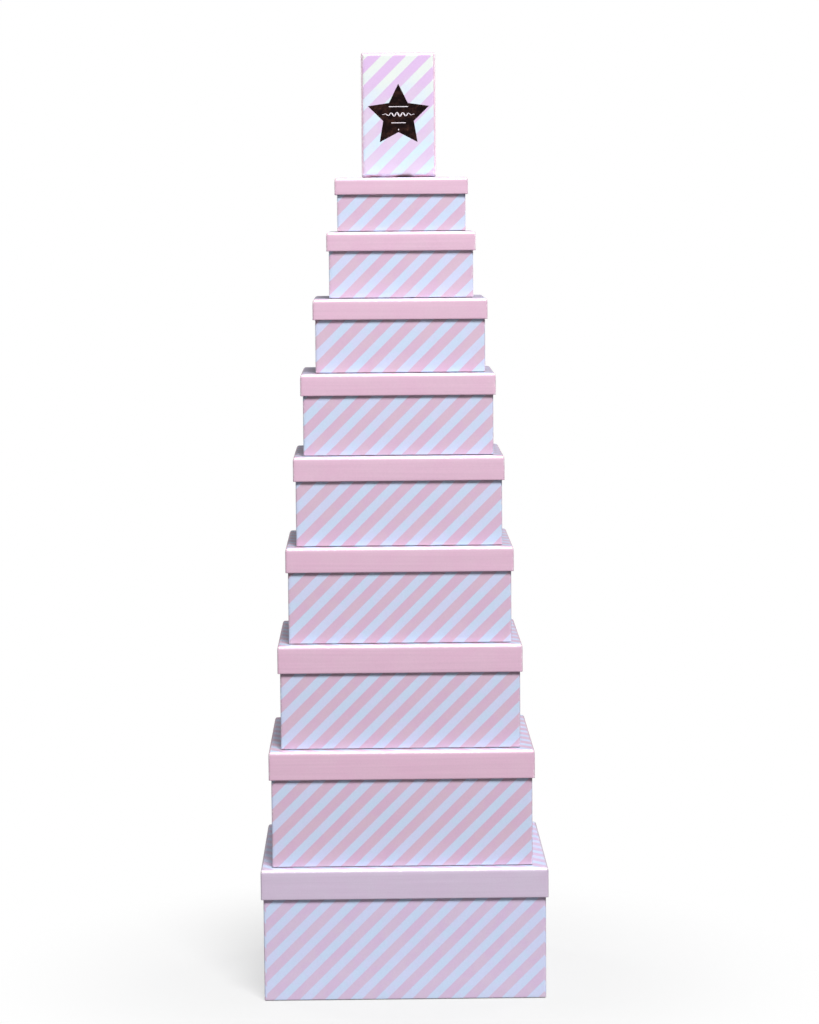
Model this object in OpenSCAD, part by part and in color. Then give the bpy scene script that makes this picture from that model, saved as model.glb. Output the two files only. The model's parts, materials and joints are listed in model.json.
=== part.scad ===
// A set of ten rigid cardboard boxes with lift-off lids, stacked largest to smallest.
// Each box is a greyboard tray held at its corners by stay tape and wrapped in printed paper,
// with a shallower tray of the same make as its lid. The smallest box stands on its short end.
// The origin is on the ground under the middle of the largest box, +Z is up and -Y is the front.
// Sizes are in millimetres, and box 1 is the smallest.

/* [Size of each box, smallest first] */
// Length of each closed box over its lid
box_length = [162, 174, 194.5, 227.5, 254, 275, 297, 319, 346.5, 375]; // [90:0.5:600]
// Width of each closed box over its lid, from its front to its back
box_width = [97, 109, 126, 156, 178.5, 198, 218.5, 241, 266.5, 290]; // [60:0.5:480]
// Height of each closed box, lid included
box_height = [56, 70, 86.5, 96.5, 107, 117.5, 126.5, 137, 153.5, 174.5]; // [45:0.5:300]
// Height of each lid, measured down its side
lid_height = [17.5, 22, 25, 27, 28.5, 32, 32.5, 36.5, 37.5, 39.5]; // [16:0.5:40]

/* [Stacking] */
// How far each box sits to the right of the largest one
side_shift = [1, 3.5, 2.5, 0.5, -3, -3, -3, -3.5, -2.5, 0]; // [-5:0.5:5]
// Air left between a box and the lid that it stands on
rest_gap = 0.1; // [0.05:0.05:0.5]

/* [Board] */
// Thickness of the greyboard
board_t = 2; // [1.2:0.1:2.4]
// Radius round the upright corners of a board tray
corner_r = 2.2; // [1:0.1:4]
// Radius of the fold between a base's floor and its walls
base_fold_r = 1.6; // [0.8:0.1:2]
// Radius of the fold between a lid's top and its skirt
lid_fold_r = 4.2; // [1:0.1:4.4]

/* [Paper] */
// Thickness of the printed wrap
wrap_t = 0.2; // [0.1:0.05:0.3]
// How far a base's wrap is turned in over its rim
base_turn_in = 18; // [8:1:20]
// How far a lid's wrap is turned in over its rim
lid_turn_in = 11; // [6:1:12]
// Thickness of the stay tape pressed into the board at each corner
stay_t = 0.15; // [0.1:0.05:0.3]
// Width of stay tape on each side of a corner
stay_leg = 18; // [10:1:20]

/* [Fit] */
// Air between a lid and its base on each side
fit_gap = 0.8; // [0.4:0.1:1.2]

/* [Hidden] */
$fn = 48;
count = len(box_length);
// cuts run this far past a face
over = 1;
// what a lid's outside stands out past its base's outside, on each side
overhang = board_t + 2 * wrap_t + fit_gap;
lid_roof = board_t + wrap_t;
// how much of the smallest box's base shows past its lid, and how far that makes the box lean back
bare_base = box_height[0] - lid_height[0];
lean = atan(overhang / bare_base);

GREYBOARD = "#b9ae9f";
TAPE = "#d9c9a8";
STRIPED_PINK = "#e6c3d8";
PLAIN_PINK = "#deb7cf";

kinds = ["base_board", "base_corner_stays", "base_wrap", "lid_board", "lid_corner_stays", "lid_wrap"];
function node_name(box, kind) = str("box_", box, "_", kind);

// outside size of a box's lid, and of its base, over the wrap
function lid_size(box) = [box_length[box - 1], box_width[box - 1], lid_height[box - 1]];
function base_size(box) = [
    box_length[box - 1] - 2 * overhang,
    box_width[box - 1] - 2 * overhang,
    box_height[box - 1] - lid_roof - rest_gap
];
// a tray's board lies one paper thickness inside its wrap on every outer face and at the rim
function inside_wrap(size) = size - [2 * wrap_t, 2 * wrap_t, 2 * wrap_t];
// height of a box's underside above the ground
function rest_height(box) =
    box == count ? 0 : rest_height(box + 1) + box_height[box] + rest_gap;

// a rectangle with round corners, centred
module round_rect(x, y, r) {
    square([x - 2 * r, y], center = true);
    square([x, y - 2 * r], center = true);
    for (sx = [-1, 1]) for (sy = [-1, 1])
        translate([sx * (x / 2 - r), sy * (y / 2 - r)]) circle(r);
}

// a side view of a tray: round at its two lower corners, its foot on the X axis
module fold_profile(x, height, r) {
    translate([-x / 2, r]) square([x, height - r]);
    translate([-x / 2 + r, 0]) square([x - 2 * r, height - r]);
    for (side = [-1, 1]) translate([side * (x / 2 - r), r]) circle(r);
}

// a block standing on Z = 0 with round upright corners and a round edge under it all the way round
module folded_block(size, upright_r, fold_r) {
    intersection() {
        linear_extrude(size.z) round_rect(size.x, size.y, upright_r);
        rotate([90, 0, 0])
            linear_extrude(size.y + 2 * over, center = true) fold_profile(size.x, size.z, fold_r);
        rotate([90, 0, 90])
            linear_extrude(size.x + 2 * over, center = true) fold_profile(size.y, size.z, fold_r);
    }
}

// a sharp-cornered cavity over a floor, open at the top
module cavity(x, y, floor_z, top_z) {
    translate([-x / 2, -y / 2, floor_z]) cube([x, y, top_z - floor_z]);
}

// the board and its stay tape together, closed below and open at the top
module tray_blank(size, fold_r) {
    board = inside_wrap(size);
    translate([0, 0, wrap_t]) difference() {
        folded_block(board, corner_r, fold_r);
        cavity(board.x - 2 * board_t, board.y - 2 * board_t, board_t, board.z + over);
    }
}

// an L of tape on each upright corner, from just over the fold to the rim
module corner_stays(size, fold_r) {
    board = inside_wrap(size);
    foot_z = wrap_t + fold_r;
    rim_z = wrap_t + board.z;
    intersection() {
        translate([0, 0, foot_z]) linear_extrude(rim_z - foot_z) difference() {
            round_rect(board.x, board.y, corner_r);
            round_rect(board.x - 2 * stay_t, board.y - 2 * stay_t, corner_r - stay_t);
        }
        for (sx = [-1, 1]) for (sy = [-1, 1])
            translate([sx * board.x / 2, sy * board.y / 2, rim_z / 2])
                cube([2 * stay_leg, 2 * stay_leg, 2 * rim_z], center = true);
    }
}

module board_tray(size, fold_r) {
    difference() {
        tray_blank(size, fold_r);
        corner_stays(size, fold_r);
    }
}

// printed paper over the outside of a tray, over its rim and down inside by the turn-in
module tray_wrap(size, fold_r, turn_in) {
    inner_x = size.x - 2 * wrap_t - 2 * board_t;
    inner_y = size.y - 2 * wrap_t - 2 * board_t;
    turned_z = size.z - turn_in;
    difference() {
        folded_block(size, corner_r + wrap_t, fold_r + wrap_t);
        tray_blank(size, fold_r);
        cavity(inner_x, inner_y, wrap_t + board_t, turned_z);
        cavity(inner_x - 2 * wrap_t, inner_y - 2 * wrap_t, turned_z - over, size.z + over);
    }
}

// where a box stands: flat on the one below, but the smallest stands on its short end, lid to the front,
// and leans back on the rim of its lid until the far edge of its base touches too
module standing(box) {
    if (box == 1)
        translate([side_shift[0], lid_height[0] - box_height[0] / 2, rest_height(1)])
            rotate([-lean, 0, 0]) translate([0, bare_base, box_length[0] / 2])
                rotate([90, 0, 0]) rotate([0, 0, 90]) children();
    else
        translate([side_shift[box - 1], 0, rest_height(box)]) children();
}

// a lid is made like a base, then turned over onto it
module turned_over(box) {
    translate([0, 0, box_height[box - 1]]) mirror([0, 0, 1]) children();
}

module base_board(box) {
    color(GREYBOARD) standing(box) board_tray(base_size(box), base_fold_r);
}

module base_corner_stays(box) {
    color(TAPE) standing(box) corner_stays(base_size(box), base_fold_r);
}

module base_wrap(box) {
    color(STRIPED_PINK) standing(box) tray_wrap(base_size(box), base_fold_r, base_turn_in);
}

module lid_board(box) {
    color(GREYBOARD) standing(box) turned_over(box) board_tray(lid_size(box), lid_fold_r);
}

module lid_corner_stays(box) {
    color(TAPE) standing(box) turned_over(box) corner_stays(lid_size(box), lid_fold_r);
}

module lid_wrap(box) {
    color(PLAIN_PINK) standing(box) turned_over(box)
        tray_wrap(lid_size(box), lid_fold_r, lid_turn_in);
}

for (box = [count : -1 : 1]) {
    base_board(box);
    base_corner_stays(box);
    base_wrap(box);
    lid_board(box);
    lid_corner_stays(box);
    lid_wrap(box);
}
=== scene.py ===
"""Looks for a tower of ten gift boxes with lift-off lids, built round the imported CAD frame.

Every box is a tray of greyboard covered in printed pearl paper, and its lid is a wider, shallower tray turned
over. The CAD boards and corner stays keep their meshes and get materials of their own. The paper wraps are
replaced by finer ones, with rounded folds, glued corner laps and turned-in edges, and each lid carries a foil
star.
"""

import json
import math

import bmesh
import bpy
from mathutils import Matrix, Vector


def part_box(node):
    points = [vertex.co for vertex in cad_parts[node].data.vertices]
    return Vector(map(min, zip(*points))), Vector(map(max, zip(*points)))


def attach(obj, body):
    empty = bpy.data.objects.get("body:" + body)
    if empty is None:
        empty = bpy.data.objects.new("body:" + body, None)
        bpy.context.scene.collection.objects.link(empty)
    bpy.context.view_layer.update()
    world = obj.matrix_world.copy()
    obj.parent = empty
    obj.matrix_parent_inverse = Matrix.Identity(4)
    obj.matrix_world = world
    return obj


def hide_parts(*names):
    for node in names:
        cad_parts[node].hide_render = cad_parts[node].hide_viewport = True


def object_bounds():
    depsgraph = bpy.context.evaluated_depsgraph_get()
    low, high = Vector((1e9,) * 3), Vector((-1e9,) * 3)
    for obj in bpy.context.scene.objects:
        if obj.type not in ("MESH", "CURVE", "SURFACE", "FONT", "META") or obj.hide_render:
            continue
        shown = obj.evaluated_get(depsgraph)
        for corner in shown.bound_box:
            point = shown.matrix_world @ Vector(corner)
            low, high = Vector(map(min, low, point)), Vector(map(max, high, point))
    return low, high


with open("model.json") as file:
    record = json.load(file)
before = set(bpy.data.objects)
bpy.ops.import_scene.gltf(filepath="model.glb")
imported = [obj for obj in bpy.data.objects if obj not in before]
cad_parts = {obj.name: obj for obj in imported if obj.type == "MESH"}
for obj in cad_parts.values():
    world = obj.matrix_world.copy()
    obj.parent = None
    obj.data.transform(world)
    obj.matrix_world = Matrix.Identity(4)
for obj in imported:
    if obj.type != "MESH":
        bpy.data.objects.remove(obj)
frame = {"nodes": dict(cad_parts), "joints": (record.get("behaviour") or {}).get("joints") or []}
cad_lo, cad_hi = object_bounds()

# ---------------------------------------------------------------- sizes, in metres unless named otherwise
MM = 0.001
SMALLEST, LARGEST = 1, 10            # box 1 stands on its end at the top
BOXES = range(SMALLEST, LARGEST + 1)
HAIR = MM / 1000                     # a distance too small to matter

BOARD = 2 * MM                       # greyboard's thickness
BASE_FOLD = 1.8 * MM                 # outside radius of the fold round a base's bottom
LID_FOLD = 4.4 * MM                  # outside radius of the fold round a lid's top
CORNER = 2.4 * MM                    # outside radius of the upright corners
RIM_FOLD = 0.45 * MM                 # radius of the paper where it turns over the board's edge
BASE_TURN_IN = 18 * MM               # paper glued inside a base's wall
LID_TURN_IN = 11 * MM                # paper glued inside a lid's skirt
STRIPED_FOLD = math.radians(30)      # how far round a lid's fold the stripes go before the plain pink
LAP = 3.3 * MM                       # how far the short sides' flaps reach round each upright corner
TIGHTEST_CORNER = 0.15 * MM          # least radius of the upright corners inside a tray
LOOSE_CUT = LARGEST                  # the box whose flaps show their own print beside its upright corners
LAP_STEP = 0.14 * MM                 # how proud the long sides' paper stands on those flaps
CUT_WIDTH = 0.06 * MM                # width of the step at the paper's cut edge
WALL_BULGE = 0.22 * MM               # outward crown in the middle of each wall
FULL_BULGE_HEIGHT = 60 * MM          # lower trays are crowned less, in proportion
FOOT_SHADE_HEIGHT = 1.0 * MM                # height of the painted shade round a base's foot, where it meets what it stands on
CUFF = 1.5 * MM                      # a narrow ring beside each fold, so that the flats stay flat

STRIPE_PERIOD = 33 * MM              # along a horizontal edge, one pink and one white stripe
PINK_SHARE = 0.53                    # pink's share of the period
INK_SPREAD = 0.6 * MM                # softness of the printed edge
# Distance along each base's foot, from its middle, where a white stripe is centred. Smallest box first.
WHITE_AT_FOOT = [26 * MM, 3 * MM, 9 * MM, 0, 28 * MM, 14 * MM, 8 * MM, 2 * MM, 9.5 * MM, 33 * MM]
WHITE_ON_SMALLEST_LID = 25 * MM      # the same on the smallest lid's top, from its middle
LID_STRIPE_SHIFT = 7 * MM            # each larger lid's print starts this much further along

STAR_SHARE = 0.435                   # star's outer radius over the lid's short side
STAR_DROP = 0.013                    # how far its middle is below the lid's, over the lid's long side
STAR_WAIST = 0.5                     # star's inner radius over its outer radius
FOIL = 0.025 * MM                    # foil's height over the paper
INLAY = 0.015 * MM                   # ornament's height over the foil, clear of the box that stands on it
SUNK = 0.03 * MM                     # how far foil and ornament reach into what they lie on
# The star's ornament, as shares of its outer radius. Heights are from its middle towards its upper point.
RULES = ((0.29, 0.29), (-0.21, 0.21))        # height and half length of each rule
RULE_HALF_WIDTH = 0.012
LOZENGE_HEIGHT = -0.42
LOZENGE = ((0.03, 0), (0, 0.02), (-0.03, 0), (0, -0.02))
FLOURISH_HEIGHT = 0.05
FLOURISH_HALF_LENGTH = 0.5
FLOURISH_WAVES = 5.5
FLOURISH_SWING = 0.065
FLOURISH_THIN, FLOURISH_SWELL = 0.006, 0.007

ARC_STEPS = 6                        # straight pieces in a quarter of a fold
RIM_STEPS = 3                        # the same round each edge of a rim
RULE_END_STEPS = 6                   # straight pieces round each end of a rule
FLOURISH_STEPS = 132                 # pieces along the flourish
LONG_COLUMNS = 10                    # columns of faces along a long side
SHORT_COLUMNS = 7
WALL_ROWS = 7

# ---------------------------------------------------------------- light and camera
# Each softbox: azimuth and elevation in degrees, distance and width in metres, power in watts
SOFTBOXES = {
    "key": (15, 56, 9.0, 2.6, 1370),
    "fill": (10, 10, 6.0, 3.0, 20),
    "rear_left": (-128, 15, 6.0, 3.0, 125),
    "rear_right": (128, 15, 6.0, 3.0, 125),
}
ROOM_LOW, ROOM_HIGH = 0.13, 0.42     # the room's strength near the horizon and overhead
FLOOR_RADIUS = 0.6
FLOOR_FADE_START = 0.19              # distance from the middle at which the floor starts to fade
FLOOR_CLEAR = 0.65                   # how see-through it is already there
FLOOR_GREY = 0.42
FLOOR_DROP = 0.3 * MM                # its depth below the largest box
CAMERA_PLACE = (-35.5 * MM, -3836.3 * MM, 1025.2 * MM)
CAMERA_YAW, CAMERA_PITCH, CAMERA_ROLL = -0.01231, 0.10354, 0.0077    # radians
CAMERA_LENS, CAMERA_SENSOR = 101.58, 36                              # millimetres

# ---------------------------------------------------------------- colours, linear
# Each trio of inks is the stripes' white, the stripes' pink and the plain pink of a lid's sides.
INKS = ((0.555, 0.59, 0.785), (0.604, 0.430, 0.54), (0.67, 0.445, 0.565))
LARGEST_INKS = ((0.57, 0.61, 0.83), (0.61, 0.483, 0.632), (0.585, 0.49, 0.618))
SMALLEST_LID_INKS = ((0.54, 0.61, 0.74), (0.575, 0.465, 0.605), (0.67, 0.445, 0.565))
SMALLEST_LID_SHEEN_END = ((0.63, 0.67, 0.64), (0.58, 0.40, 0.64))      # its white and pink at its upper end, a painted iridescent sheen of the pearl varnish
PAPER_CORE = (0.80, 0.76, 0.79, 1)   # where a fold's print is rubbed off
FOOT_SHADE_COLOUR = (0.05, 0.042, 0.05, 1)     # painted shade, the dark line round a base's foot
# Multipliers that the varnish's slow clouds give each ink
WHITE_CLOUD, PINK_CLOUD, PLAIN_CLOUD = (0.93, 1.04, 0.99, 1), (1.0, 0.95, 1.02, 1), (1.0, 0.96, 0.99, 1)

# Noise scales, in features a metre
CLOUD_SCALE = 36
MOTTLE_SCALE = 420
RUB_SCALE = 160
FOOT_SHADE_SCALE = 60
SATIN_SCALE = 70
GLUE_SCALE = 48
FIBRE_SCALE = 2600
INK_EDGE_SCALE = 900
SKIRT_STREAKS = (5, 330, 1)          # stretch of the print's plane for the streaks along a lid's sides


# ---------------------------------------------------------------- where each box is, from the frame
def lift_axis(box):
    """The direction in which a box's lid lifts off."""
    joint = next(j for j in frame["joints"] if j["name"] == f"box_{box}_lid_lift")
    return Vector(joint["axis"]).normalized()


def box_turn(box):
    """Turns the tray's own axes (length X, width Y, opening Z) into the row frame."""
    up = lift_axis(box)
    if up.z > 0.5:
        return Matrix.Identity(4)
    length = Vector((0, up.z, -up.y))
    width = up.cross(length)
    return Matrix((length, width, up)).transposed().to_4x4()


def corners_in(node, turn):
    """Lowest and highest corner of a CAD node along the tray's own axes."""
    back = turn.transposed()
    points = [back @ v.co for v in frame["nodes"][node].data.vertices]
    lo = Vector([min(p[i] for p in points) for i in range(3)])
    hi = Vector([max(p[i] for p in points) for i in range(3)])
    return lo, hi


class Tray:
    """One base or one lid: its sizes, and the matrix from its own axes to the row frame.

    In its own axes the panel's outside lies on z = 0 and the open side faces up."""

    def __init__(self, box, part):
        turn = box_turn(box)
        lo, hi = corners_in(f"box_{box}_{part}_wrap", turn)
        board_lo, _ = corners_in(f"box_{box}_{part}_board", turn)
        self.box = box
        self.part = part
        self.body = f"box_{box}_{part}"
        self.half_x = (hi.x - lo.x) / 2
        self.half_y = (hi.y - lo.y) / 2
        self.height = hi.z - lo.z
        self.paper = board_lo.x - lo.x
        self.board = BOARD
        middle = Vector(((lo.x + hi.x) / 2, (lo.y + hi.y) / 2, lo.z))
        self.place = turn @ Matrix.Translation(middle)
        if part == "lid":
            over = Matrix.Translation((0, 0, self.height)) @ Matrix.Scale(-1, 4, (0, 0, 1))
            self.place = self.place @ over
        self.fold = LID_FOLD if part == "lid" else BASE_FOLD
        self.turn_in = LID_TURN_IN if part == "lid" else BASE_TURN_IN

    def print_start(self):
        """Shift of the printed stripes, so that a white one is centred where it should be."""
        if self.part == "lid":
            return -WHITE_ON_SMALLEST_LID + LID_STRIPE_SHIFT * (self.box - 1)
        saved_by_fold = self.fold * (2 - math.pi / 2)
        return self.half_y - saved_by_fold - WHITE_AT_FOOT[self.box - 1]


# ---------------------------------------------------------------- the paper wraps
def tray_profile(tray):
    """The wrap's section, from the panel's edge over fold, wall, rim and turn-in and back on its inner face.

    Each point is (inset from the outside, height, distance along the skin, share of the wall's shape)."""
    fold, paper, height = tray.fold, tray.paper, tray.height
    rim_width = 2 * paper + tray.board
    top = height - RIM_FOLD
    points = [(fold + CUFF, 0, -CUFF, 0)]
    for step in range(ARC_STEPS + 1):
        angle = math.pi / 2 * step / ARC_STEPS
        inset, z = fold * (1 - math.sin(angle)), fold * (1 - math.cos(angle))
        points.append((inset, z, fold * angle, math.sin(angle) / 2))
    run = fold * math.pi / 2 - fold
    low, high = fold + CUFF, top - CUFF
    for row in range(WALL_ROWS + 1):
        z = low + (high - low) * row / WALL_ROWS
        points.append((0, z, run + z, 1))
    for step in range(RIM_STEPS + 1):
        angle = math.pi / 2 * step / RIM_STEPS
        inset, z = RIM_FOLD * (1 - math.cos(angle)), top + RIM_FOLD * math.sin(angle)
        points.append((inset, z, run + top + RIM_FOLD * angle, 1 - step / RIM_STEPS))
    over = run + top + RIM_FOLD * math.pi / 2 + rim_width - 2 * RIM_FOLD
    for step in range(RIM_STEPS + 1):
        angle = math.pi / 2 * step / RIM_STEPS
        inset = rim_width - RIM_FOLD * (1 - math.sin(angle))
        points.append((inset, top + RIM_FOLD * math.cos(angle), over + RIM_FOLD * angle, 0))
    down = over + RIM_FOLD * math.pi / 2
    for drop in (CUFF, tray.turn_in / 2, tray.turn_in):
        points.append((rim_width, height - drop, down + drop, 0))
    inner = rim_width - paper
    points.append((inner, height - tray.turn_in, down + tray.turn_in, 0))
    points.append((inner, height - paper, down, 0))
    points.append((paper, height - paper, run + height, 0))
    for row in range(WALL_ROWS, -1, -1):
        z = low + (high - low) * row / WALL_ROWS
        points.append((paper, z, run + z, 1))
    for step in range(ARC_STEPS, -1, -1):
        angle = math.pi / 2 * step / ARC_STEPS
        inset = fold - (fold - paper) * math.sin(angle)
        z = fold - (fold - paper) * math.cos(angle)
        points.append((inset, z, fold * angle, math.sin(angle) / 2))
    points.append((fold + CUFF, paper, -CUFF, 0))
    return points


def side_stations(straight, half, columns, lapped):
    """Places along a straight side, as shares of its half length, with how proud the paper stands there."""
    if not lapped:
        return [(2 * i / columns - 1, 0) for i in range(columns + 1)]
    cut = (half - LAP) / straight
    step = CUT_WIDTH / straight
    inner = [(cut * (2 * i / columns - 1), LAP_STEP) for i in range(1, columns)]
    left = [(-1, 0), (-cut - step, 0), (-cut, LAP_STEP)]
    right = [(cut, LAP_STEP), (cut + step, 0), (1, 0)]
    return left + inner + right


def perimeter(tray):
    """Stations round the tray, anticlockwise seen from its open side.

    Each is (kind, side, share along the side or angle round the corner after it, paper's step there)."""
    straight_x = tray.half_x - CORNER
    straight_y = tray.half_y - CORNER
    stations = []
    for side in range(4):
        lapped = side % 2 == 0
        straight, half = (straight_x, tray.half_x) if lapped else (straight_y, tray.half_y)
        columns = LONG_COLUMNS if lapped else SHORT_COLUMNS
        for share, step in side_stations(straight, half, columns, lapped):
            stations.append(("side", side, share, step))
        for step in range(1, ARC_STEPS):
            stations.append(("arc", side, math.pi / 2 * step / ARC_STEPS, 0))
    return stations


def station_point(tray, station, inset):
    """A station's place on the ring at that inset, with the direction that faces outwards there."""
    kind, side, value, _ = station
    along = Matrix.Rotation(math.pi / 2 * side, 2)
    reach_x, reach_y = tray.half_x - inset, tray.half_y - inset
    if side % 2:
        reach_x, reach_y = reach_y, reach_x
    radius = max(CORNER - inset, TIGHTEST_CORNER)
    if kind == "side":
        spot, out = Vector((value * (reach_x - radius), -reach_y)), Vector((0, -1))
    else:
        out = Vector((math.sin(value), -math.cos(value)))
        spot = Vector((reach_x - radius, -(reach_y - radius))) + radius * out
    return along @ spot, along @ out


def wall_crown(tray, station, z):
    """Outward crown of a wall at a station, none at its corners, fold and rim."""
    kind, _, share, _ = station
    if kind == "arc" or abs(share) > 0.999:
        return 0
    up = (z - tray.fold) / (tray.height - tray.fold)
    lengthwise = 1 - share * share
    upright = 4 * max(0, up) * max(0, 1 - up)
    size = min(1, tray.height / FULL_BULGE_HEIGHT)
    return WALL_BULGE * size * lengthwise * upright


def print_layout(tray, stations):
    """Each station's distance round the outside from the first one, and the whole way round."""
    spots = [station_point(tray, s, 0)[0] for s in stations]
    runs = [0]
    for here, there in zip(spots, spots[1:]):
        runs.append(runs[-1] + (there - here).length)
    total = runs[-1] + (spots[0] - spots[-1]).length
    return runs, total


def owner_of(stations, index, flaps_show):
    """The side whose print covers the face after that station. Flaps that show have a short side's print."""
    kind, side, share, step = stations[index]
    after = stations[(index + 1) % len(stations)]
    if side % 2 and kind == "side":
        return side
    if side % 2:
        return side if flaps_show or share < math.pi / 4 else (side + 1) % 4
    if kind == "arc":
        return side if not flaps_show and share < math.pi / 4 - 0.01 else (side + 1) % 4
    if step > 0 or after[3] > 0 or not flaps_show:
        return side
    return (side + 3) % 4 if share < 0 else (side + 1) % 4


def wrap_mesh(tray):
    """The whole wrap as one closed sheet of paper with its print laid out on it."""
    profile = tray_profile(tray)
    stations = perimeter(tray)
    count = len(stations)
    points, wear, painted_foot_shade = [], [], []
    for inset, z, _, share in profile:
        for station in stations:
            spot, out = station_point(tray, station, inset)
            proud = (station[3] + wall_crown(tray, station, z)) * share
            spot = spot + out * proud
            points.append((spot.x, spot.y, z))
            on_fold = 0 < share < 0.5 or (share > 0 and station[0] == "arc")
            wear.append(1.0 if on_fold else 0.0)
            # Painted shade: the dark line round a base's foot, where it meets what it stands on.
            at_foot = tray.part == "base" and z < FOOT_SHADE_HEIGHT and inset < tray.fold + CUFF
            painted_foot_shade.append(1.0 if at_foot else 0.0)
    faces, sides, rows = [], [], []
    for row in range(len(profile) - 1):
        for j in range(count):
            k = (j + 1) % count
            a, b = row * count, (row + 1) * count
            faces.append((a + j, a + k, b + k, b + j))
            sides.append(j)
            rows.append(row)
    last = (len(profile) - 1) * count
    faces.append(tuple(range(count)))
    faces.append(tuple(range(last + count - 1, last - 1, -1)))
    sides += [0, 0]
    rows += [-1, -1]

    mesh = bpy.data.meshes.new(f"{tray.body}_paper")
    mesh.from_pydata([tray.place @ Vector(p) for p in points], [], faces)
    add_print(mesh, tray, stations, profile, points, list(zip(sides, rows)))
    mesh.attributes.new("wear", "FLOAT", "POINT")
    mesh.attributes["wear"].data.foreach_set("value", wear)
    mesh.attributes.new("painted_foot_shade", "FLOAT", "POINT")
    mesh.attributes["painted_foot_shade"].data.foreach_set("value", painted_foot_shade)
    mark_cut_edges(mesh, stations)
    face_outwards(mesh, smooth=True)
    return mesh


def add_print(mesh, tray, stations, profile, points, owners):
    """Lays the print out on the wrap. Stripes run along s - t = constant. "plain" is 1 where none show."""
    runs, total = print_layout(tray, stations)
    start = tray.print_start()
    sides = [s[1] for s in stations]
    right_run = runs[sides.index(1)] + tray.half_y - CORNER
    left_run = runs[sides.index(3)] + tray.half_y - CORNER
    stripes_end = tray.fold * STRIPED_FOLD
    count = len(stations)
    sheet, plain = [], []
    for polygon, (j, row) in zip(mesh.polygons, owners):
        flat = row <= 0 or row >= len(profile) - 2
        side = owner_of(stations, j, tray.box == LOOSE_CUT)
        is_plain = tray.part == "lid" and not flat and profile[row][2] > stripes_end - HAIR
        for vertex in polygon.vertices:
            ring, station = divmod(vertex, count)
            run = profile[ring][2]
            x, y, _ = points[vertex]
            if flat:
                s, t = x, -y
            elif side == 0:
                s, t = x, tray.half_y - tray.fold + run
            elif side == 2:
                s, t = x, -(tray.half_y - tray.fold + run)
            elif side == 1:
                s, t = tray.half_x - tray.fold + run, right_run - runs[station]
            else:
                past = (runs[station] - left_run + total / 2) % total - total / 2
                s, t = -(tray.half_x - tray.fold + run), past
            sheet += [s + start, t]
            plain.append(float(is_plain))
    mesh.uv_layers.new(name="print")
    mesh.attributes.new("plain", "FLOAT", "CORNER")
    mesh.uv_layers["print"].uv.foreach_set("vector", sheet)
    mesh.attributes["plain"].data.foreach_set("value", plain)


def mark_cut_edges(mesh, stations):
    """The paper's cut edges at the corner laps stay crisp."""
    count = len(stations)
    cuts = set()
    for j in range(count):
        k = (j + 1) % count
        if stations[j][3] != stations[k][3]:
            cuts.update((j, k))
    for edge in mesh.edges:
        a, b = edge.vertices
        if a % count == b % count and a % count in cuts:
            edge.use_edge_sharp = True


def face_outwards(mesh, smooth=False):
    """Turns every face outwards. With smooth, the folds shade as round."""
    work = bmesh.new()
    work.from_mesh(mesh)
    bmesh.ops.recalc_face_normals(work, faces=work.faces)
    if smooth:
        for face in work.faces:
            face.smooth = True
    work.to_mesh(mesh)
    work.free()


def closed_mesh(name, points, faces, place):
    """A mesh from points in a tray's own axes, with its faces turned outwards."""
    mesh = bpy.data.meshes.new(name)
    mesh.from_pydata([place @ Vector(p) for p in points], [], faces)
    face_outwards(mesh)
    return mesh


# ---------------------------------------------------------------- foil stars and their ornament
def plate_mesh(name, outlines, low, high, place):
    """Thin plates between two heights, with those outlines in the lid's own plan."""
    points, faces = [], []
    for outline in outlines:
        first, count = len(points), len(outline)
        centre = sum((Vector(p) for p in outline), Vector((0, 0))) / count
        points += [(x, y, low) for x, y in outline]
        points += [(x, y, high) for x, y in outline]
        points += [(centre.x, centre.y, low), (centre.x, centre.y, high)]
        under, above = first + 2 * count, first + 2 * count + 1
        for i in range(count):
            j = (i + 1) % count
            faces.append((first + i, first + j, first + count + j, first + count + i))
            faces.append((first + j, first + i, under))
            faces.append((first + count + i, first + count + j, above))
    return closed_mesh(name, points, faces, place)


def star_outline(radius):
    """A five-pointed star with one point along +X, which is up on the standing box."""
    outline = []
    for i in range(10):
        reach = radius if i % 2 == 0 else radius * STAR_WAIST
        angle = math.pi / 5 * i
        outline.append((reach * math.cos(angle), reach * math.sin(angle)))
    return outline


def rule_outline(radius, height, half_length):
    """A thin rule with round ends across the star, placed and sized in shares of the star's radius."""
    outline = []
    for end in (-1, 1):
        for step in range(RULE_END_STEPS + 1):
            angle = math.pi * step / RULE_END_STEPS
            across = RULE_HALF_WIDTH * math.cos(angle) * -end
            along = end * (half_length + RULE_HALF_WIDTH * math.sin(angle))
            outline.append(((height + across) * radius, along * radius))
    return outline


def flourish_outline(radius):
    """A wavy flourish across the star, thick in the middle and fine at its ends. It runs up and back down."""

    def swell_at(share):
        return math.cos(share * math.pi / 2)

    def middle(share):
        swell = swell_at(share)
        wave = math.sin(share * math.pi * FLOURISH_WAVES)
        return FLOURISH_HEIGHT + FLOURISH_SWING * swell * wave, share * FLOURISH_HALF_LENGTH

    def edge(share, side):
        x, y = middle(share)
        ahead = Vector(middle(share + 0.001)) - Vector(middle(share - 0.001))
        across = Vector((-ahead.y, ahead.x)).normalized()
        beat = 1 + math.cos(share * math.pi * 2 * FLOURISH_WAVES)
        width = FLOURISH_THIN + FLOURISH_SWELL * swell_at(share) * beat
        return (Vector((x, y)) + across * width * side) * radius

    outline = [edge(2 * i / FLOURISH_STEPS - 1, -1) for i in range(FLOURISH_STEPS + 1)]
    outline += [edge(1 - 2 * i / FLOURISH_STEPS, 1) for i in range(FLOURISH_STEPS + 1)]
    return outline


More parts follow.
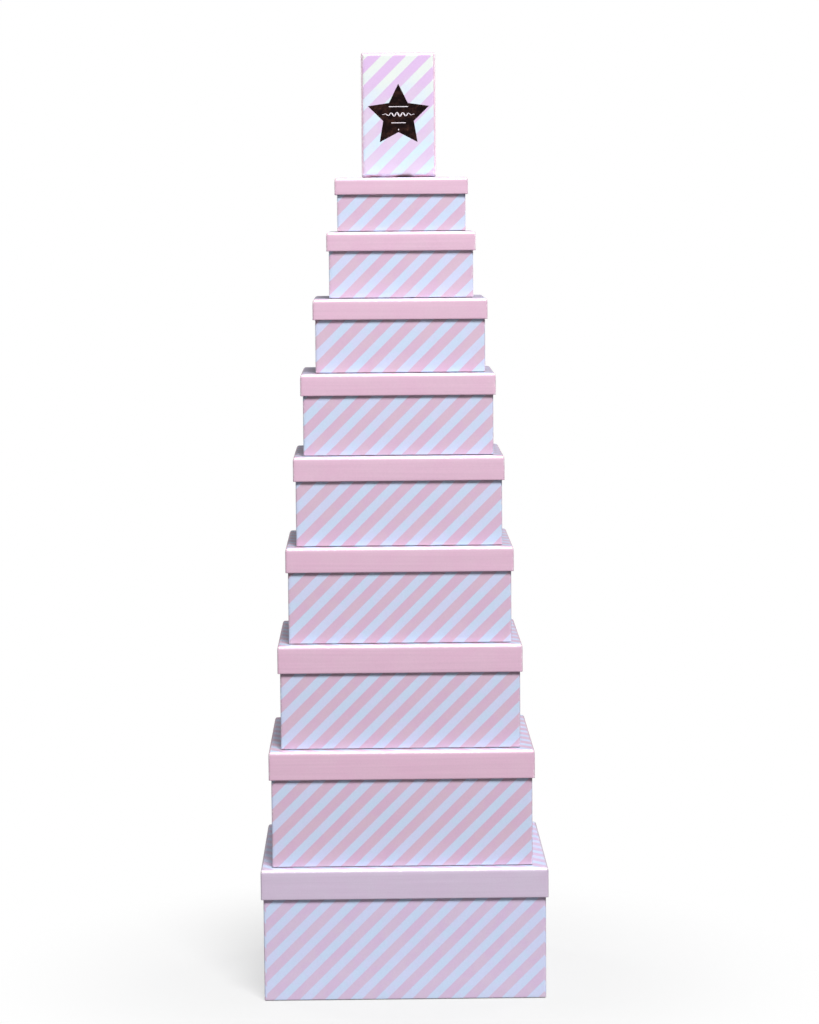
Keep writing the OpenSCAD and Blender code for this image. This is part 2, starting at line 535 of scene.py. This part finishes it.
def ribbon_mesh(name, outline, low, high, place):
    """A closed thin ribbon whose outline runs up one edge and back down the other."""
    half = len(outline) // 2
    points = [(p[0], p[1], z) for z in (low, high) for p in outline]
    total = len(outline)
    faces = []
    for i in range(half - 1):
        j, m, n = i + 1, total - 1 - i, total - 2 - i
        faces.append((i, m, n, j))
        faces.append((total + i, total + j, total + n, total + m))
    for i in range(total):
        j = (i + 1) % total
        faces.append((i, j, total + j, total + i))
    return closed_mesh(name, points, faces, place)


def add_piece(name, mesh, material, body):
    """Puts a mesh in the scene as a piece of that body, with its material."""
    piece = bpy.data.objects.new(name, mesh)
    bpy.context.scene.collection.objects.link(piece)
    mesh.materials.append(material)
    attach(piece, body)
    return piece


def add_star(tray, foil, inlay):
    """The foil star on a lid's top, with a plain ornament of two rules, a flourish and a lozenge."""
    radius = STAR_SHARE * 2 * tray.half_y
    place = tray.place @ Matrix.Translation((-STAR_DROP * 2 * tray.half_x, 0, 0))
    name = f"box_{tray.box}_lid_star"
    star = plate_mesh(name, [star_outline(radius)], -FOIL, SUNK, place)
    add_piece(name, star, foil, tray.body)
    plates = [rule_outline(radius, *rule) for rule in RULES]
    plates.append([((LOZENGE_HEIGHT + dx) * radius, dy * radius) for dx, dy in LOZENGE])
    low, high = -FOIL - INLAY, -FOIL + SUNK / 2
    rules = plate_mesh(f"{name}_rules", plates, low, high, place)
    add_piece(f"{name}_rules", rules, inlay, tray.body)
    ribbon = ribbon_mesh(f"{name}_flourish", flourish_outline(radius), low, high, place)
    add_piece(f"{name}_flourish", ribbon, inlay, tray.body)


# ---------------------------------------------------------------- materials
class Shader:
    """A material's node tree, with short calls to add and join nodes."""

    def __init__(self, name):
        self.material = bpy.data.materials.new(name)
        self.material.use_nodes = True
        self.nodes = self.material.node_tree.nodes
        self.links = self.material.node_tree.links
        self.surface = self.nodes["Principled BSDF"]

    def node(self, kind, inputs=(), **settings):
        """Adds a node with those settings and values or links in its numbered or named inputs."""
        made = self.nodes.new(f"ShaderNode{kind}")
        for key, value in settings.items():
            setattr(made, key, value)
        for key, value in dict(inputs).items():
            self.feed(made, key, value)
        return made

    def feed(self, node, key, value):
        if isinstance(value, bpy.types.NodeSocket):
            self.links.new(value, node.inputs[key])
        else:
            node.inputs[key].default_value = value

    def math(self, operation, *values):
        return self.node("Math", enumerate(values), operation=operation).outputs[0]

    def ramp(self, value, low, high, to_low=0.0, to_high=1.0, smooth=False):
        """A value from low to high becomes one from to_low to to_high."""
        kind = "SMOOTHSTEP" if smooth else "LINEAR"
        inputs = {0: value, 1: low, 2: high, 3: to_low, 4: to_high}
        return self.node("MapRange", inputs, interpolation_type=kind, clamp=True).outputs[0]

    def mix(self, share, first, second, blend="MIX"):
        inputs = {"Factor": share}
        made = self.node("Mix", inputs, data_type="RGBA", blend_type=blend)
        self.feed(made, 6, first)
        self.feed(made, 7, second)
        return made.outputs[2]

    def noise(self, scale, detail=2.0, rough=0.5, vector=None):
        inputs = {"Scale": scale, "Detail": detail, "Roughness": rough}
        if vector is not None:
            inputs["Vector"] = vector
        else:
            inputs["Vector"] = self.node("TexCoord").outputs["Object"]
        return self.node("TexNoise", inputs).outputs[0]

    def clouded(self, share, base, cloud):
        """A colour that is multiplied by the cloud's where the share is 1."""
        return self.mix(share, base, [c * m for c, m in zip(base, cloud)])

    def shaded(self, ground, shade):
        """A colour multiplied by a grey of that value."""
        grey = self.node("CombineColor", {0: shade, 1: shade, 2: shade}).outputs[0]
        return self.mix(1.0, ground, grey, "MULTIPLY")

    def attribute(self, name):
        return self.node("Attribute", attribute_name=name).outputs["Fac"]

    def bump(self, height, distance, strength=1.0, under=None):
        inputs = {"Strength": strength, "Distance": distance, "Height": height}
        if under is not None:
            inputs["Normal"] = under
        return self.node("Bump", inputs).outputs[0]


def colour(r, g, b):
    return (r, g, b, 1)


def stripe_share(shader):
    """1 on the pink stripes and 0 on the white ones, with the ink's slightly uneven edge."""
    sheet = shader.node("UVMap", uv_map="print").outputs[0]
    place = shader.node("SeparateXYZ", {0: sheet}).outputs
    across = shader.math("SUBTRACT", place[0], place[1])
    wobble = shader.noise(INK_EDGE_SCALE, 3.0)
    across = shader.math("ADD", across, shader.ramp(wobble, 0.3, 0.7, -INK_SPREAD / 2, INK_SPREAD / 2))
    from_white = shader.math("PINGPONG", across, STRIPE_PERIOD / 2)
    edge = STRIPE_PERIOD / 2 * (1 - PINK_SHARE)
    return shader.ramp(from_white, edge - INK_SPREAD, edge + INK_SPREAD, smooth=True)


def pearl_paper(name, inks, plain_sides=False, drift=None):
    """Printed paper with a pearl varnish: stripes, plain sides on a lid, hue drift, mottle, wear, fibres, and
    painted shade round a base's foot.

    A drift is the two heights between which the inks change, and the white and the pink at the upper one. It
    is a
    painted sheen: the pearl varnish's iridescence laid into the inks as a change of colour up the face."""
    shader = Shader(name)
    white, pink, plain = [colour(*ink) for ink in inks]
    pearl = shader.noise(CLOUD_SCALE, 3.0, 0.55)
    clouds = shader.ramp(pearl, 0.38, 0.62, smooth=True)
    cool = shader.clouded(clouds, white, WHITE_CLOUD)
    warm = shader.clouded(clouds, pink, PINK_CLOUD)
    if drift is not None:
        # Painted sheen: the inks change colour up the face, as the pearl varnish's iridescence.
        low, high, cool_end, warm_end = drift
        position = shader.node("SeparateXYZ", {0: shader.node("TexCoord").outputs["Object"]}).outputs[2]
        uneven = shader.ramp(pearl, 0.3, 0.7, -0.25, 0.25)
        share = shader.math("ADD", shader.ramp(position, low, high), uneven)
        share = shader.ramp(share, 0.0, 1.0, smooth=True)
        cool = shader.mix(share, cool, cool_end)
        warm = shader.mix(share, warm, warm_end)
    ground = shader.mix(stripe_share(shader), cool, warm)
    if plain_sides:
        blush = shader.clouded(shader.ramp(pearl, 0.35, 0.65), plain, PLAIN_CLOUD)
        sheet = shader.node("UVMap", uv_map="print").outputs[0]
        along_skirt = shader.node("Mapping", {0: sheet, 3: SKIRT_STREAKS}).outputs[0]
        streak = shader.ramp(shader.noise(1.0, 3.0, 0.6, along_skirt), 0.3, 0.7, 0.95, 1.03)
        blush = shader.shaded(blush, streak)
        ground = shader.mix(shader.attribute("plain"), ground, blush)
    mottle = shader.ramp(shader.noise(MOTTLE_SCALE, 4.0, 0.7), 0.3, 0.7, 0.965, 1.025)
    ground = shader.shaded(ground, mottle)
    rub = shader.ramp(shader.noise(RUB_SCALE, 4.0, 0.75), 0.5, 0.68)
    worn = shader.math("MULTIPLY", shader.attribute("wear"), rub)
    ground = shader.mix(shader.math("MULTIPLY", worn, 0.55), ground, PAPER_CORE)
    # Painted shade: a dark line round a base's foot, uneven in patches.
    patches = shader.ramp(shader.noise(FOOT_SHADE_SCALE, 3.0), 0.3, 0.6, 0.75, 1.0)
    foot_shade_share = shader.math("MULTIPLY", shader.attribute("painted_foot_shade"), patches)
    ground = shader.mix(shader.math("MULTIPLY", foot_shade_share, 0.92), ground, FOOT_SHADE_COLOUR)
    shader.feed(shader.surface, "Base Color", ground)
    satin = shader.ramp(shader.noise(SATIN_SCALE, 4.0, 0.6), 0.3, 0.7, 0.36, 0.46)
    roughness = shader.math("ADD", satin, shader.math("MULTIPLY", worn, 0.25))
    shader.feed(shader.surface, "Roughness", roughness)
    glue = shader.bump(shader.noise(GLUE_SCALE, 2.0), 0.10 * MM)
    fibres = shader.bump(shader.noise(FIBRE_SCALE, 3.0, 0.6), 0.012 * MM, under=glue)
    shader.feed(shader.surface, "Normal", fibres)
    shader.surface.inputs["IOR"].default_value = 1.5
    shader.surface.inputs["Coat Weight"].default_value = 0.9
    shader.surface.inputs["Coat Roughness"].default_value = 0.24
    return shader.material


def greyboard():
    """Pressed recycled board: grey-brown, flecked and matt."""
    shader = Shader("greyboard")
    pulp = shader.noise(140, 5.0, 0.7)
    dark, light = colour(0.30, 0.275, 0.24), colour(0.42, 0.39, 0.345)
    ground = shader.mix(shader.ramp(pulp, 0.35, 0.65), dark, light)
    flecks = shader.ramp(shader.noise(1500, 3.0, 0.7), 0.62, 0.72)
    ground = shader.mix(shader.math("MULTIPLY", flecks, 0.5), ground, colour(0.16, 0.145, 0.13))
    shader.feed(shader.surface, "Base Color", ground)
    shader.feed(shader.surface, "Roughness", shader.ramp(pulp, 0.3, 0.7, 0.82, 0.94))
    shader.feed(shader.surface, "Normal", shader.bump(shader.noise(1100, 5.0, 0.7), 0.05 * MM))
    return shader.material


def stay_paper():
    """Gummed kraft tape round the outside of the board's upright corners, under the wrap."""
    shader = Shader("stay_paper")
    pulp = shader.noise(220, 4.0, 0.65)
    dark, light = colour(0.50, 0.37, 0.22), colour(0.62, 0.49, 0.32)
    ground = shader.mix(shader.ramp(pulp, 0.35, 0.65), dark, light)
    position = shader.node("TexCoord").outputs["Object"]
    stretched = shader.node("Mapping", {0: position, 3: (1, 1, 0.08)}).outputs[0]
    streaks = shader.noise(900, 3.0, 0.6, stretched)
    ground = shader.mix(shader.ramp(streaks, 0.4, 0.7, 0.0, 0.35), ground, colour(0.36, 0.26, 0.15))
    shader.feed(shader.surface, "Base Color", ground)
    shader.feed(shader.surface, "Roughness", shader.ramp(pulp, 0.3, 0.7, 0.55, 0.7))
    shader.feed(shader.surface, "Normal", shader.bump(streaks, 0.02 * MM))
    return shader.material


def dark_foil():
    """Hot-stamped foil in a dark copper brown, with the paper's grain showing through it. Its colour is
    painted
    reflection: dark as a mirror foil looks in dark surroundings, mottled as its reflections are, with painted
    glints.
    """
    shader = Shader("dark_foil")
    # Painted reflection: the colour is mottled from near black to a lighter brown.
    cloud = shader.noise(85, 5.0, 0.7)
    dark, light = colour(0.018, 0.010, 0.011), colour(0.075, 0.032, 0.026)
    ground = shader.mix(shader.ramp(cloud, 0.45, 0.7), dark, light)
    # Painted glints: small spots of a warmer, lighter brown.
    painted_glint = shader.ramp(shader.noise(420, 3.0, 0.7), 0.62, 0.74)
    ground = shader.mix(shader.math("MULTIPLY", painted_glint, 0.6), ground, colour(0.18, 0.08, 0.05))
    shader.feed(shader.surface, "Base Color", ground)
    shader.feed(shader.surface, "Roughness", shader.ramp(cloud, 0.3, 0.7, 0.18, 0.34))
    shader.feed(shader.surface, "Normal", shader.bump(shader.noise(700, 3.0), 0.02 * MM))
    shader.surface.inputs["Metallic"].default_value = 1.0
    return shader.material


def star_inlay():
    """Pale print that shows through the foil."""
    shader = Shader("star_inlay")
    cloud = shader.noise(300, 3.0)
    dark, light = colour(0.62, 0.54, 0.60), colour(0.78, 0.72, 0.78)
    ground = shader.mix(shader.ramp(cloud, 0.35, 0.65), dark, light)
    shader.feed(shader.surface, "Base Color", ground)
    shader.feed(shader.surface, "Roughness", shader.ramp(cloud, 0.3, 0.7, 0.4, 0.55))
    shader.feed(shader.surface, "Normal", shader.bump(shader.noise(FIBRE_SCALE, 3.0), 0.01 * MM))
    return shader.material


# ---------------------------------------------------------------- building the tower
def build_tower():
    """Wraps every tray, gives the CAD pieces their materials and puts a star on each lid."""
    top_lo, top_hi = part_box("box_1_lid_wrap")
    # The smallest lid's inks change up its face, a painted iridescent sheen.
    white_end, pink_end = [colour(*ink) for ink in SMALLEST_LID_SHEEN_END]
    drift = (top_lo.z + 50 * MM, top_hi.z - 10 * MM, white_end, pink_end)
    papers = {
        "base": pearl_paper("base_paper", INKS),
        "lid": pearl_paper("lid_paper", INKS, plain_sides=True),
    }
    top_lid = pearl_paper("smallest_lid_paper", SMALLEST_LID_INKS, plain_sides=True, drift=drift)
    special = {
        (SMALLEST, "lid"): top_lid,
        (LARGEST, "base"): pearl_paper("largest_base_paper", LARGEST_INKS),
        (LARGEST, "lid"): pearl_paper("largest_lid_paper", LARGEST_INKS, plain_sides=True),
    }
    board, stay, foil, inlay = greyboard(), stay_paper(), dark_foil(), star_inlay()
    for box in BOXES:
        for part, slot in (("base", "striped_paper"), ("lid", "lid_paper")):
            tray = Tray(box, part)
            paper = special.get((box, part), papers[part])
            piece = add_piece(f"{tray.body}_paper", wrap_mesh(tray), paper, tray.body)
            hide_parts(f"{tray.body}_wrap")
            set_material(frame["nodes"][f"{tray.body}_board"], board)
            set_material(frame["nodes"][f"{tray.body}_corner_stays"], stay)
            if part == "lid":
                add_star(tray, foil, inlay)


def set_material(node, material):
    """Gives every material slot of a CAD node that material."""
    for slot in node.material_slots:
        slot.material = material


# ---------------------------------------------------------------- floor, light and camera
def add_floor():
    """A plain pale disc that fades into the white backdrop."""
    place = (0, 0, -FLOOR_DROP)
    bpy.ops.mesh.primitive_circle_add(vertices=96, radius=FLOOR_RADIUS, fill_type="NGON", location=place)
    floor = bpy.context.object
    floor.name = "floor"
    shader = Shader("floor")
    from_middle = shader.node("TexCoord").outputs["Object"]
    distance = shader.node("VectorMath", {0: from_middle}, operation="LENGTH").outputs["Value"]
    fade = shader.ramp(distance, FLOOR_FADE_START, FLOOR_RADIUS, FLOOR_CLEAR, 1.0, smooth=True)
    shader.surface.inputs["Base Color"].default_value = colour(FLOOR_GREY, FLOOR_GREY, FLOOR_GREY)
    shader.surface.inputs["Roughness"].default_value = 0.9
    clear = shader.node("BsdfTransparent").outputs[0]
    both = shader.node("MixShader", {0: fade, 1: shader.surface.outputs[0], 2: clear}).outputs[0]
    shader.links.new(both, shader.nodes["Material Output"].inputs[0])
    floor.data.materials.append(shader.material)


def add_softbox(name, azimuth, elevation, distance, size, watts, target):
    """A square softbox that faces the target. Azimuth 0 is in front of the object and grows to the right."""
    light = bpy.data.lights.new(name, "AREA")
    light.size = size
    light.energy = watts
    lamp = bpy.data.objects.new(name, light)
    bpy.context.scene.collection.objects.link(lamp)
    a, e = math.radians(azimuth), math.radians(elevation)
    away = Vector((math.sin(a) * math.cos(e), -math.cos(a) * math.cos(e), math.sin(e)))
    lamp.location = target + away * distance
    lamp.rotation_mode = "QUATERNION"
    lamp.rotation_quaternion = away.to_track_quat("Z", "Y")


def add_world():
    """White to the camera, and a soft room that is brighter overhead for everything else."""
    world = bpy.data.worlds.new("studio")
    bpy.context.scene.world = world
    world.use_nodes = True
    nodes, links = world.node_tree.nodes, world.node_tree.links
    room = nodes["Background"]
    direction = nodes.new("ShaderNodeTexCoord").outputs["Generated"]
    parts = nodes.new("ShaderNodeSeparateXYZ")
    links.new(direction, parts.inputs[0])
    height = nodes.new("ShaderNodeMapRange")
    height.interpolation_type = "SMOOTHSTEP"
    links.new(parts.outputs[2], height.inputs[0])
    height.inputs[1].default_value = 0.05
    height.inputs[2].default_value = 0.9
    height.inputs[3].default_value = ROOM_LOW
    height.inputs[4].default_value = ROOM_HIGH
    links.new(height.outputs[0], room.inputs["Strength"])
    room.inputs["Color"].default_value = (0.97, 0.98, 1.0, 1)
    backdrop = nodes.new("ShaderNodeBackground")
    backdrop.inputs["Color"].default_value = (1, 1, 1, 1)
    backdrop.inputs["Strength"].default_value = 1.0
    seen = nodes.new("ShaderNodeLightPath").outputs["Is Camera Ray"]
    both = nodes.new("ShaderNodeMixShader")
    links.new(seen, both.inputs[0])
    links.new(room.outputs[0], both.inputs[1])
    links.new(backdrop.outputs[0], both.inputs[2])
    links.new(both.outputs[0], nodes["World Output"].inputs[0])


def add_camera():
    """A long lens in front of the tower, level with the second box from the top and tilted slightly down."""
    place = Vector(CAMERA_PLACE)
    yaw, pitch, roll = CAMERA_YAW, CAMERA_PITCH, CAMERA_ROLL
    ahead_flat = Vector((-math.sin(yaw), math.cos(yaw), 0))
    right_flat = Vector((math.cos(yaw), math.sin(yaw), 0))
    up = Vector((0, 0, 1))
    ahead = ahead_flat * math.cos(pitch) - up * math.sin(pitch)
    up_tilted = ahead_flat * math.sin(pitch) + up * math.cos(pitch)
    right = right_flat * math.cos(roll) - up_tilted * math.sin(roll)
    top = right_flat * math.sin(roll) + up_tilted * math.cos(roll)
    data = bpy.data.cameras.new("camera")
    data.sensor_width = CAMERA_SENSOR
    data.lens = CAMERA_LENS
    data.clip_start = 0.1
    data.clip_end = 100
    camera = bpy.data.objects.new("camera", data)
    bpy.context.scene.collection.objects.link(camera)
    camera.matrix_world = Matrix.Translation(place) @ Matrix((right, top, -ahead)).transposed().to_4x4()
    bpy.context.scene.camera = camera


add_camera()
build_tower()
add_floor()
add_world()
middle = (cad_lo + cad_hi) / 2
for softbox, setting in SOFTBOXES.items():
    add_softbox(softbox, *setting, middle)
bpy.context.scene.view_settings.view_transform = "Standard"
